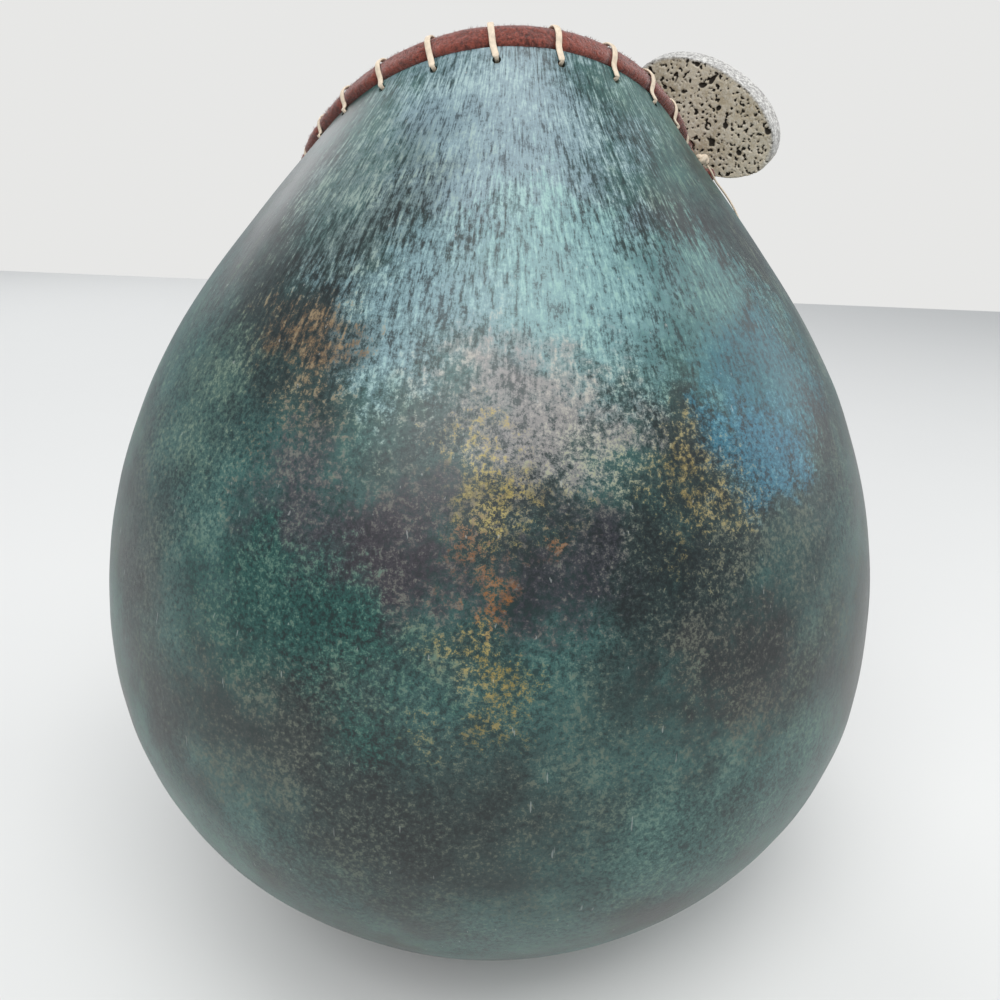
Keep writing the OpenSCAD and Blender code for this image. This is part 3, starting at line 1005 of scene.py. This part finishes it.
class GOURD_OT_lacing(bpy.types.Operator):
    """Whip stitches of one flat lace, and the knot that ends it"""

    bl_idname = "gourd.lacing"
    bl_label = "Lacing"

    def execute(self, context):
        sizes = context.scene.gourd_sizes
        rim_sizes = context.scene.rim_sizes
        rim = Rim(sizes)
        route, sides, widths = [], [], []
        for k in range(sizes.stitches):
            for i, (_, _, share) in enumerate(stitch(rim.stop(k), sizes, rim_sizes)):
                f = rim.stop(k + share)
                outward, up, _ = stitch(f, sizes, rim_sizes)[i]
                # Pinched and pulled up in its hole, the lace leaves the lower half open
                pinched = i in IN_HOLE
                route.append(place(f, outward, up + (HOLE_LIFT if pinched else 0)))
                widths.append(HOLE_NARROW if pinched else 1.0)
                sides.append(f.along)
        cuts = 3
        fine = smooth_route(route, cuts)
        fine_sides = [v * w for v, w in zip(smooth_route(sides, cuts), spread(widths, cuts))]
        rings = flat_rings(fine, fine_sides, rim_sizes.lace_w * 0.98, rim_sizes.lace_t * 0.95)
        lace = add_object("lacing", *tube_mesh(rings))
        material = lace_paint(rim_sizes.lace)
        dress(lace, material, "vessel", "pale_lace", "rim_lacing")
        knot = add_object("lace_knot", *knot_mesh(lace_knot_place(rim, sizes), KNOT_R, 0.36))
        dress(knot, material, "vessel", "pale_lace", "lacing_knot")
        return {"FINISHED"}


def slice_pin(rim, rim_sizes):
    """Centre of the slice's hole on its sawn face, above the welt."""
    return rim.frame(SLICE_AT).point + Vector((4.4 * MM, 1 * MM, 2 * rim_sizes.welt_r + 3 * MM))


class GOURD_OT_slice(bpy.types.Operator):
    """Porous slice with its open pores and pale rind"""

    bl_idname = "gourd.slice"
    bl_label = "Slice"

    def execute(self, context):
        sizes = context.scene.slice_sizes
        pin = slice_pin(Rim(context.scene.gourd_sizes), context.scene.rim_sizes)
        piece = add_object("slice", *self.blank(pin, sizes))
        ends = [pin + TOWARD * 10 * MM, pin - TOWARD * 30 * MM]
        drill = add_object("slice_drill", *tube_mesh(round_rings(ends, RIGHT, sizes.hole_d / 2, 32)))
        subtract(piece, drill)
        fine = piece.modifiers.new("fine", "REMESH")
        fine.mode = "VOXEL"
        fine.voxel_size = 0.42 * MM
        to_plain_mesh(piece)
        bpy.data.objects.remove(drill)
        self.open_pores(piece.data, pin, sizes)
        for face in piece.data.polygons:
            face.use_smooth = True
        dress(piece, bone_paint(), "slice", "porous_bone", "porous_slice")
        return {"FINISHED"}

    @staticmethod
    def blank(pin, sizes):
        """Oval plate with a straight seat over the rim."""
        count = 160
        trim = 0.15 * MM
        normal = Vector((-math.sin(SEAT_ANGLE), math.cos(SEAT_ANGLE)))
        along = Vector((math.cos(SEAT_ANGLE), math.sin(SEAT_ANGLE)))
        c, s = math.cos(SLICE_ANGLE), math.sin(SLICE_ANGLE)
        outline = []
        for i in range(count):
            a = 2 * math.pi * i / count
            u = (sizes.length / 2 - trim) * math.cos(a)
            v = (sizes.width / 2 - trim) * math.sin(a)
            p = Vector((SLICE_MID[0] + u * c - v * s, SLICE_MID[1] + u * s + v * c))
            below = -SEAT_DROP - p.dot(normal)
            if below > 0 and p.dot(along) < sizes.length * SEAT_REACH:
                p += normal * below
            outline.append(p)
        verts = []
        for depth in (0.0, -sizes.thick):
            verts += [pin + p.x * RIGHT + p.y * UPWARD + depth * TOWARD for p in outline]
        faces = [tuple(range(count)), tuple(range(2 * count - 1, count - 1, -1))]
        for i in range(count):
            n = (i + 1) % count
            faces.append((i, i + count, n + count, n))
        return verts, faces

    @staticmethod
    def open_pores(mesh, pin, sizes):
        """Sink the pores, chip the skin and mark pores and rind for the paint, which darkens the pores as
        painted shade.
        """
        pore_depth = 0.85 * MM
        chip_depth = 0.3 * MM
        smooth_r = 2.8 * MM
        smooth_fade = 0.8 * MM
        pore = mesh.attributes.new("pore", "FLOAT", "POINT")
        rind = mesh.attributes.new("rind", "FLOAT", "POINT")
        c, s = math.cos(-SLICE_ANGLE), math.sin(-SLICE_ANGLE)
        moved = []
        for v in mesh.vertices:
            q = v.co - pin
            flat = Vector((q.dot(RIGHT), q.dot(UPWARD)))
            local = flat - Vector(SLICE_MID)
            u = (local.x * c - local.y * s) / (sizes.length / 2)
            w = (local.x * s + local.y * c) / (sizes.width / 2)
            edge = clamp((math.hypot(u, w) - 0.93) / 0.05) * clamp((w + 0.35) / 0.5)
            small = noise.noise(v.co * 760) + 0.45 * noise.noise(v.co * 1500)
            big = noise.noise(v.co * 300 + Vector((3, 1, 2)))
            hollow = max(
                clamp((small - 0.22) * 3.0) * (1 - 0.75 * edge),
                clamp((big - 0.42) * 6) * (1 - edge))
            # The thong has worn the skin smooth near its hole
            away = clamp((flat.length - smooth_r) / smooth_fade)
            hollow *= away
            pore.data[v.index].value = hollow
            rind.data[v.index].value = edge
            chip = chip_depth * max(0.0, noise.noise(v.co * 130)) * away
            moved.append(v.co - v.normal * (hollow * pore_depth + chip))
        for v, co in zip(mesh.vertices, moved):
            v.co = co


class GOURD_OT_thong(bpy.types.Operator):
    """Suede thong that ties the slice to the rim, and its knot"""

    bl_idname = "gourd.thong"
    bl_label = "Thong"

    def execute(self, context):
        rim_sizes = context.scene.rim_sizes
        slice_sizes = context.scene.slice_sizes
        rim = Rim(context.scene.gourd_sizes)
        half = context.scene.gourd_sizes.wall / 2
        base = rim.frame(THONG_AT)
        knot_at = place(base, half + GAP + THONG_KNOT_R, -THONG_DROP)
        points = self.points(rim, base, half, knot_at, rim_sizes, slice_sizes)
        rings = round_rings(
            smooth_route(points, 10), RIGHT, slice_sizes.thong_d / 2 - 0.08 * MM, 20, 0.16 * MM, 700)
        thong = add_object("thong", *tube_mesh(rings))
        # Paler copy of the red suede: painted light on the thong
        worn = suede_paint("thong_suede", rim_sizes.lit_thong_suede)
        dress(thong, worn, "vessel", "red_suede", "slice_thong")
        knot = add_object("thong_knot_roll", *knot_mesh(knot_at, THONG_KNOT_R, 0.40))
        dress(knot, suede_paint("knot_suede", rim_sizes.suede), "vessel", "red_suede", "thong_knot")
        return {"FINISHED"}

    @staticmethod
    def points(rim, base, half, knot_at, rim_sizes, slice_sizes):
        """Route from the shell's hole up inside, over the welt, through the slice and back to the knot."""
        pin = slice_pin(rim, rim_sizes)
        over = rim.frame(THONG_OVER_AT)
        mid = welt_mid(over, rim_sizes.welt_r)
        clear = slice_sizes.thong_d / 2 + GAP
        ring = rim_sizes.welt_r + clear + rim_sizes.lace_t + GAP
        deep = slice_sizes.thick

        def on_slice(x, y, z):
            return pin + x * MM * RIGHT + y * MM * UPWARD + z * TOWARD

        def by_welt(reach, x, y):
            return place(over, mid[0] + x * reach, mid[1] + y * reach)

        bend = on_slice(4.5, -5, 4.5 * MM)
        return [
            place(base, half + GAP, -THONG_DROP), place(base, 0, -THONG_DROP),
            place(base, -half - clear, -THONG_DROP),
            place(base, -half - clear - 4 * MM, -THONG_DROP + 2 * MM),
            by_welt(ring + 4 * MM, -0.94, -0.34), by_welt(ring + MM, -0.64, 0.77),
            by_welt(ring + MM, 0.17, 0.98),
            on_slice(-0.5, -1.5, -deep - clear - 3.5 * MM), on_slice(0, 0, -deep - MM),
            on_slice(0, 0, -deep / 2), on_slice(0, 0, 0.5 * MM), on_slice(1.5, -1, clear + MM), bend,
            knot_at + (bend - knot_at).normalized() * (THONG_KNOT_R - 0.6 * MM)]


class GOURD_PT_panel(bpy.types.Panel):
    """Lists the pieces and their sizes"""

    bl_idname = "GOURD_PT_panel"
    bl_label = "Laced gourd"
    bl_space_type = "VIEW_3D"
    bl_region_type = "UI"
    bl_category = "Gourd"

    def draw(self, context):
        column = self.layout.column()
        for operator in OPERATORS:
            column.operator(operator.bl_idname)
        for name in GROUPS:
            group = getattr(context.scene, name)
            for key in group.bl_rna.properties.keys():
                if key not in ("rna_type", "name"):
                    column.prop(group, key)


GROUPS = {"gourd_sizes": GourdSizes, "rim_sizes": RimSizes, "slice_sizes": SliceSizes}
OPERATORS = (
    GOURD_OT_stage, GOURD_OT_tail, GOURD_OT_shell, GOURD_OT_welt, GOURD_OT_lacing, GOURD_OT_slice,
    GOURD_OT_thong)
CLASSES = (*GROUPS.values(), *OPERATORS, GOURD_PT_panel)


def register():
    for cls in CLASSES:
        bpy.utils.register_class(cls)
    for name, group in GROUPS.items():
        setattr(bpy.types.Scene, name, bpy.props.PointerProperty(type=group))


def unregister():
    for name in GROUPS:
        delattr(bpy.types.Scene, name)
    for cls in reversed(CLASSES):
        bpy.utils.unregister_class(cls)


def main():
    register()
    bpy.ops.gourd.stage()
    bpy.ops.gourd.tail()
    bpy.ops.gourd.shell()
    bpy.ops.gourd.welt()
    bpy.ops.gourd.lacing()
    bpy.ops.gourd.slice()
    bpy.ops.gourd.thong()


if __name__ == "__main__":
    main()
